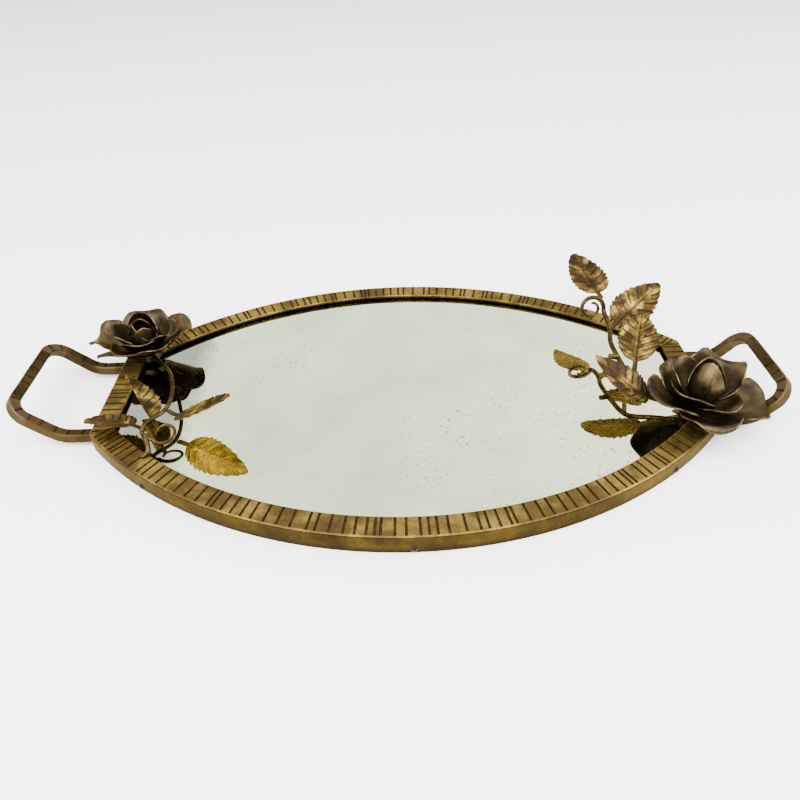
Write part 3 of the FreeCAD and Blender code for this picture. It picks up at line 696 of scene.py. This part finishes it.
def petal(name, node, foot, heading, level, length, width, slopes, cup, roll, seed,
          side_roll=0.6, point=0.0):
    """One petal of beaten sheet. Seen from the side it leaves the post at the first slope and
    reaches the second; `cup` is the radius it is hollowed to and `roll` how far its lip curls."""
    rows, columns = 22, 18
    bm = bmesh.new()
    bmesh.ops.create_grid(bm, x_segments=columns, y_segments=rows, size=1.0)
    rub = bm.verts.layers.float.new("rub")
    turn = Matrix.Rotation(math.radians(heading), 3, "Z")
    steps = 120
    track = [(POST, level * MM)]
    angles = []
    for index in range(steps):
        share = (index + 0.5) / steps
        slope = slopes[0] + (slopes[1] - slopes[0]) * smoothstep(0.0, 0.8, share)
        slope -= roll * smoothstep(0.74, 1.0, share) * (share > 0.74)
        angles.append(math.radians(slope))
        radius, height = track[-1]
        track.append((radius + length * MM / steps * math.cos(angles[-1]),
                      height + length * MM / steps * math.sin(angles[-1])))
    angles.append(angles[-1])
    for vert in bm.verts:
        across = vert.co.x
        out = (vert.co.y + 1) / 2
        shorten = 0.30 * abs(across) ** 2.6 + point * abs(across)
        share = out * (1 - shorten)
        place = min(share, 0.9999) * steps
        low = int(place)
        blend = place - low
        radius = track[low][0] * (1 - blend) + track[low + 1][0] * blend
        height = track[low][1] * (1 - blend) + track[low + 1][1] * blend
        slope = angles[low]
        reach = width * MM * across * (0.16 + 0.84 * min(out * 1.25, 1.0) ** 0.75)
        bend = reach / (cup * MM)
        sideways = cup * MM * math.sin(bend)
        lift = cup * MM * (1 - math.cos(bend))
        lift -= side_roll * MM * smoothstep(0.72, 1.0, abs(across)) * out
        lift += 0.7 * MM * noise.noise(Vector((across * 1.3, out * 1.8, seed))) * out
        local = Vector((radius - lift * math.sin(slope), sideways, height + lift * math.cos(slope)))
        vert.co = foot + turn @ local
        vert[rub] = max(smoothstep(0.86, 1.0, out), smoothstep(0.84, 1.0, abs(across)) * out)
    make_piece(name, bm, [PETAL], [node], thickness=SHEET)


# Petals as (heading, level, length, half width, slopes, cup, lip roll, side roll, point).
ROSES = {
    "left": {
        "outer": [(178, 6, 38, 20, (10, 36), 26, 110, 1.5, 0.0),
                  (247, 6, 31, 19, (4, 46), 26, 25, 0.6, 0.15),
                  (312, 6, 32, 19, (6, 50), 28, 35, 0.8, 0.1),
                  (18, 6, 37, 19, (12, 40), 28, 60, 0.8, 0.0),
                  (100, 6, 33, 19, (12, 46), 28, 45, 0.8, 0.0)],
        "middle": [(205, 7.6, 30, 17, (30, 62), 17, 30, 0.7, 0.12),
                   (285, 7.6, 27, 17, (14, 60), 19, 30, 0.6, 0.1),
                   (350, 7.6, 30, 17, (22, 52), 17, 70, 0.8, 0.0),
                   (62, 7.6, 31, 18, (36, 112), 17, 0, 0.0, 0.0)],
        "bud": [(215, 9.2, 22, 13, (50, 104), 11, 0, 0.0, 0.26),
                (85, 9.2, 24, 15, (50, 118), 12, 0, 0.0, 0.20),
                (300, 9.2, 22, 13, (46, 92), 11, 0, 0.0, 0.26)],
    },
    "right": {
        "outer": [(-14, 6, 39, 22, (8, 12), 60, 30, -1.0, -0.10),
                  (50, 6, 37, 18, (12, 26), 40, 20, 0.4, 0.20),
                  (128, 6, 34, 20, (14, 50), 30, 40, 1.0, 0.0),
                  (196, 6, 40, 24, (6, 40), 34, 30, 1.0, 0.0),
                  (268, 6, 35, 21, (2, 26), 40, 80, 1.0, 0.1)],
        "middle": [(46, 7.6, 36, 21, (26, 60), 24, 115, 1.0, 0.0),
                   (140, 7.6, 32, 18, (30, 66), 20, 35, 0.8, 0.0),
                   (212, 7.6, 32, 19, (18, 56), 22, 30, 0.7, 0.1),
                   (292, 7.6, 28, 18, (12, 44), 24, 40, 0.6, 0.1)],
        "bud": [(225, 9.2, 34, 16, (56, 122), 13, 0, 0.0, 0.24),
                (335, 9.2, 31, 12, (64, 108), 10, 0, 0.0, 0.26),
                (95, 9.2, 33, 17, (58, 104), 14, 8, 0.0, 0.20)],
    },
}


def rose(side):
    foot = rose_foot(side)
    for layer, petals in ROSES[side].items():
        for number, (heading, level, length, width, slopes, cup, roll, side_roll,
                     point) in enumerate(petals, 1):
            node = f"{side}_rose_{layer}_petal_{number}"
            petal(node + "_beaten", node, foot, heading, level, length, width, slopes, cup, roll,
                  number * 3.7 + level, side_roll, point)


# The sprays ---------------------------------------------------------------------------------

# Each leaf's stalk foot, blade foot and tip from the rose's foot, the way its width runs,
# its half width, how deep it folds along its rib, and how brown it is.
LEAVES = {
    "left_leaf_front": ((25, -97, 8.4), (12, -88, 9.0), (-19, -84, 7.4),
                        (0.10, 0.92, -0.36), 11.0, 0.15, 0.75),
    "left_leaf_middle": ((36, -79, 10.4), (50, -87, 8.4), (83, -90.6, 31.4),
                         (0.36, 0.91, -0.18), 13.0, 0.20, 0.55),
    "left_leaf_back": ((31, -93, 8.6), (22, -79, 9.4), (1, -48, 17.0),
                       (-0.56, -0.45, 0.69), 9.0, 0.75, 0.10),
    "right_leaf_front": ((-21, 7, 4), (-39, 4, 9.4), (-66, 28, 27.6),
                         (0.42, 0.86, 0.10), 13.0, 0.20, 0.80),
    "right_leaf_middle": ((-40, 18, 11), (-32, 41, 15.0), (-21, 73, 31.0),
                          (0.96, -0.26, 0.10), 13.8, 0.22, 0.30),
    "right_leaf_back": ((-41.5, 72, 20), (-32, 81, 22.4), (-1, 101, 39.0),
                        (0.60, -0.70, -0.30), 14.5, 0.16, 0.24),
    "right_leaf_top": ((-46, 93, 33), (-47.5, 107, 33.4), (-58, 144, 43.2),
                       (0.99, 0.05, 0.10), 13.5, 0.14, 0.66),
}
# How much of the gilding shows on the undersides; the rest of each underside is dark painted shade,
# most of it on the right.
UNDERSIDE_GILT_AND_SHADE = {"left": 1.0, "right": 0.25}
TEETH = 11
VEINS = 7.0
# In millimetres: the depth of a vein, and half the width of a stalk.
VEIN_DEPTH = 0.50
STALK_HALF = 1.7
LEAF_SHEET = 0.8 * MM


def leaf(node, side, stalk, base, tip, width_way, half_width, fold, brown, seed):
    """A leaf beaten from sheet, with a toothed edge, a rib, chiselled veins and ring punches."""
    foot = rose_foot(side)
    stalk, base, tip = (foot + Vector(point) * MM for point in (stalk, base, tip))
    rows, columns = 96, 40
    bm = bmesh.new()
    bmesh.ops.create_grid(bm, x_segments=columns, y_segments=rows, size=1.0)
    groove_shade = bm.verts.layers.float.new("groove_shade")
    age = bm.verts.layers.float.new("age")
    under = bm.verts.layers.float.new("under")
    tail_length = (base - stalk).length
    blade_length = (tip - base).length
    total = tail_length + blade_length
    tail_share = tail_length / total
    guide = base + (base - (stalk + tip) / 2) * 0.35
    wide = Vector(width_way).normalized()
    rolls = random.Random(seed)
    rings = [(rolls.uniform(-0.5, 0.5), rolls.uniform(0.25, 0.6)) for _ in range(3)]
    for vert in bm.verts:
        across = vert.co.x
        along = (vert.co.y + 1) / 2
        rib = stalk * (1 - along) ** 2 + guide * 2 * along * (1 - along) + tip * along ** 2
        tangent = ((guide - stalk) * (1 - along) + (tip - guide) * along).normalized()
        side_way = (wide - tangent * wide.dot(tangent)).normalized()
        facing = tangent.cross(side_way).normalized()
        if facing.z < 0:
            facing.negate()
        blade = (along - tail_share) / (1 - tail_share)
        if blade <= 0:
            half = STALK_HALF * MM
        else:
            swell = max(math.sin(math.pi * min(blade, 1.0) ** 0.92), 0.0) ** 0.62
            half = (STALK_HALF * (1 - blade) + half_width * swell) * MM
            saw = (blade * TEETH + 0.12 * math.sin(9 * blade + seed)) % 1.0
            half *= 1 - 0.13 * (1 - saw) * smoothstep(0.05, 0.2, blade) * abs(across) ** 6
            half = max(half, 0.25 * MM)
        reach = half * across
        fold_lift = abs(reach) * fold
        wave = 0.8 * MM * math.sin(5.0 * blade + 2.2 * across + seed) * max(blade, 0) * abs(across)
        vein = (blade * VEINS - abs(across) * 1.15) % 1.0
        depth = 0.0
        if 0.04 < blade < 0.96:
            cut = 1 - smoothstep(0.06, 0.20, abs(vein - 0.5))
            depth = cut * smoothstep(0.10, 0.30, abs(across))
            rib_line = 1 - smoothstep(0.02, 0.09, abs(across))
            depth = max(depth, 0.8 * rib_line)
            for ring_across, ring_along in rings:
                away = math.hypot((across - ring_across) * half, (blade - ring_along)
                                  * blade_length) / MM
                depth = max(depth, 1 - smoothstep(0.15, 0.45, abs(away - 1.0)))
        vert.co = (rib + side_way * reach + facing * (fold_lift + wave - VEIN_DEPTH * MM * depth))
        # Painted shade in the veins, rib and ring punches, by their depth.
        vert[groove_shade] = min(1.0, depth * 1.1)
        vert[under] = UNDERSIDE_GILT_AND_SHADE[side]
        mottling = 0.5 + 0.5 * noise.noise(vert.co * 130.0 + Vector((seed, 0, 0)))
        tail_brown = 1 - smoothstep(-0.05, 0.25, blade)
        vert[age] = min(1.0, max(brown * 1.5 * mottling, 0.8 * tail_brown)
                        + 0.35 * smoothstep(0.86, 1.0, abs(across)))
    make_piece(node + "_beaten", bm, [LEAF], [node], thickness=LEAF_SHEET)


def sepal():
    """The pointed calyx strip laid over the left handle's foot."""
    foot = rose_foot("left")
    low, high = corners_of("left_rose_sepal")
    bm = bmesh.new()
    bmesh.ops.create_grid(bm, x_segments=36, y_segments=12, size=1.0)
    rub = bm.verts.layers.float.new("rub")
    length = foot.x - low.x
    for vert in bm.verts:
        along = (vert.co.x + 1) / 2
        across = vert.co.y
        half = 6.0 * MM * (1 - 0.72 * smoothstep(0.45, 1.0, along))
        lift = (1.2 + 4.0 * math.sin(math.pi * along) - 1.5 * across * across) * MM
        vert.co = Vector((foot.x - along * length, (low.y + high.y) / 2 + across * half,
                          FLANGE_TOP + lift))
        vert[rub] = max(smoothstep(0.7, 1.0, abs(across)), 0.3)
    bmesh.ops.recalc_face_normals(bm, faces=bm.faces[:])
    make_piece("left_rose_sepal_beaten", bm, [PETAL], ["left_rose_sepal"],
               thickness=SHEET)


# The stems' points from the rose's foot, in millimetres, up to where their curls begin.
STEM_ROUTES = {
    "left": [(4, -4, 3), (18, -20, 3.2), (28, -37, 8), (35, -60, 10), (35, -80, 10.4),
             (26, -88, 10.4), (22, -95, 9), (25, -101, 6.4)],
    "right": [(-4, 1, 3), (-21, 7, 4), (-34, 12, 8), (-41, 20, 11.5), (-44, 43, 14.4),
              (-45.7, 58.5, 15.8), (-42.5, 72, 19), (-42.6, 82, 21)],
}
# The curl's centre, its first and last radius, its plane's tilt, its first angle and its turn.
CURLS = {
    "left": ((37, -97, 6.4), 8.2, 5.6, 15.0, 212.0, 340.0),
    "right": ((-53.2, 90, 26.2), 9.6, 4.0, 73.0, -14.0, 470.0),
}
# The wire's radius in millimetres, and each stem's share of it.
WIRE = 1.8
STEM_SHARE = {"left": 0.78, "right": 1.0}
# The wire's unevenness: how fine it is, and its depth in millimetres.
WIRE_RIPPLE_SCALE = 160.0
WIRE_RIPPLE = 0.25
# The steps that a curl is drawn in, and how much thinner the wire is at its end.
CURL_STEPS = 22
CURL_TAPER = 0.48


def wire(name, node, foot, points):
    """A wire of one smooth line: points from the rose's foot, each with its thickness."""
    curve = bpy.data.curves.new(name + "_line", "CURVE")
    curve.dimensions = "3D"
    curve.bevel_depth = WIRE * MM
    curve.bevel_resolution = 4
    curve.resolution_u = 8
    curve.use_fill_caps = True
    spline = curve.splines.new("NURBS")
    spline.points.add(len(points) - 1)
    for target, (point, share) in zip(spline.points, points):
        target.co = (*(foot + Vector(point) * MM), 1.0)
        target.radius = share
    spline.order_u = 3
    spline.use_endpoint_u = True
    line = bpy.data.objects.new(name + "_line", curve)
    bpy.context.scene.collection.objects.link(line)
    mesh = bpy.data.meshes.new_from_object(
        line.evaluated_get(bpy.context.evaluated_depsgraph_get()))
    bpy.data.objects.remove(line)
    bm = bmesh.new()
    bm.from_mesh(mesh)
    bmesh.ops.remove_doubles(bm, verts=bm.verts[:], dist=1e-6)
    for vert in bm.verts:
        vert.co += noise.noise_vector(vert.co * WIRE_RIPPLE_SCALE) * WIRE_RIPPLE * MM
    bmesh.ops.recalc_face_normals(bm, faces=bm.faces[:])
    make_piece(name, bm, [STEM], [node])


def stem(side):
    """The stem along its route and round its curl, drawn out thinner to its end."""
    centre, first, last, tilt, start, turn = CURLS[side]
    tilt = math.radians(tilt)
    over = Vector((0, math.cos(tilt), math.sin(tilt)))
    points = [(point, STEM_SHARE[side]) for point in STEM_ROUTES[side]]
    for index in range(CURL_STEPS + 1):
        share = index / CURL_STEPS
        angle = math.radians(start + turn * share)
        radius = first + (last - first) * share
        points.append((Vector(centre) + Vector((1, 0, 0)) * radius * math.cos(angle)
                       + over * radius * math.sin(angle),
                       STEM_SHARE[side] * (1.0 - CURL_TAPER * share)))
    wire(side + "_stem_wire", side + "_stem", rose_foot(side), points)


# Side shoots: on the right a stub cut off short, on the left a foot that reaches the rim.
SHOOTS = {
    "left": [((25, -99, 7.5), 1.0), ((27, -103, 6.0), 1.0), ((29, -108, 2.6), 0.9),
             ((28, -111, 0.6), 1.2), ((25, -113, 0.2), 0.5)],
    "right": [((-44, 43, 14.4), 1.1), ((-47, 43, 15.0), 1.3), ((-50.5, 43, 15.6), 1.0)],
}


# The whole ----------------------------------------------------------------------------------

def coat(node, material):
    """Give a piece carried over from the frame its finish."""
    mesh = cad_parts[node].data
    mesh.materials.clear()
    mesh.materials.append(material)


# Without a seed of its own the bars' and wires' unevenness would follow the clock.
RIPPLE_SEED = 7
noise.seed_set(RIPPLE_SEED)

long_rail("front_rail", -1, 3)
long_rail("back_rail", 1, 8)
end_rail("left_end_rail", -1, 5)
end_rail("right_end_rail", 1, 6)
handle("left", 11)
handle("right", 12)
mirror_plate()
for rose_side in ("left", "right"):
    rose(rose_side)
    stem(rose_side)
    coat(rose_side + "_rose_boss", PETAL)
    wire(rose_side + "_side_shoot", rose_side + "_twig", rose_foot(rose_side),
         SHOOTS[rose_side])
sepal()
for leaf_number, (leaf_node, shape) in enumerate(LEAVES.items()):
    leaf(leaf_node, leaf_node.split("_")[0], *shape, leaf_number + 1.0)
coat("edge_pins", pin_brass())
coat("backing_board", backing_board())
coat("base_felt", base_felt())


# Floor, light and camera --------------------------------------------------------------------

# Soft lights as (name, place, side, power).
LAMPS = (("front softbox", (-0.5, -0.9, 1.5), 1.9, 165.0),
         ("side softbox", (1.6, -0.2, 1.3), 1.6, 85.0))
# The brightness of the air in front and behind, and the directions it fades between.
AIR_FRONT = 0.45
AIR_BACK = 2.5
AIR_FADE = (-0.35, 0.30)
FLOOR_REACH = 6.0
FLOOR_DROP = 0.2 * MM
FLOOR_WHITE = 0.97
# The camera's place, its turn about X, Y and Z in degrees, its sensor and lens in millimetres.
CAMERA_PLACE = (-0.00899, -0.36442, 0.30569)
CAMERA_TURN = (49.846, 0.948, -1.526)
CAMERA_SENSOR = 36.0
CAMERA_LENS = 29.16


def studio():
    bm = bmesh.new()
    bmesh.ops.create_grid(bm, x_segments=1, y_segments=1, size=FLOOR_REACH)
    bmesh.ops.translate(bm, vec=(0, 0, -FLOOR_DROP), verts=bm.verts[:])
    mesh = bpy.data.meshes.new("studio floor")
    bm.to_mesh(mesh)
    bm.free()
    floor = bpy.data.objects.new("studio_floor", mesh)
    bpy.context.scene.collection.objects.link(floor)
    paint = Finish("studio floor paint", 0.0, 0.9)
    paint.shader.inputs["Base Color"].default_value = (*[FLOOR_WHITE] * 3, 1.0)
    mesh.materials.append(paint.material)
    world = bpy.data.worlds.new("studio air")
    world.use_nodes = True
    tree = world.node_tree
    tree.nodes["Background"].inputs["Color"].default_value = (1.0, 1.0, 1.0, 1.0)
    direction = tree.nodes.new("ShaderNodeSeparateXYZ")
    tree.links.new(tree.nodes.new("ShaderNodeTexCoord").outputs["Generated"],
                   direction.inputs["Vector"])
    fade = tree.nodes.new("ShaderNodeMapRange")
    fade.inputs["From Min"].default_value = AIR_FADE[0]
    fade.inputs["From Max"].default_value = AIR_FADE[1]
    fade.inputs["To Min"].default_value = AIR_FRONT
    fade.inputs["To Max"].default_value = AIR_BACK
    tree.links.new(direction.outputs["Y"], fade.inputs["Value"])
    tree.links.new(fade.outputs["Result"], tree.nodes["Background"].inputs["Strength"])
    bpy.context.scene.world = world
    for name, place, size, power in LAMPS:
        lamp = bpy.data.lights.new(name, "AREA")
        lamp.size = size
        lamp.energy = power
        holder = bpy.data.objects.new(name, lamp)
        holder.location = place
        holder.rotation_euler = (-Vector(place)).to_track_quat("-Z", "Y").to_euler()
        bpy.context.scene.collection.objects.link(holder)


def camera():
    data = bpy.data.cameras.new("view")
    data.sensor_width = CAMERA_SENSOR
    data.lens = CAMERA_LENS
    holder = bpy.data.objects.new("view", data)
    turn = Euler([math.radians(angle) for angle in CAMERA_TURN]).to_matrix().to_4x4()
    holder.matrix_world = Matrix.Translation(CAMERA_PLACE) @ turn
    bpy.context.scene.collection.objects.link(holder)
    bpy.context.scene.camera = holder


studio()
camera()
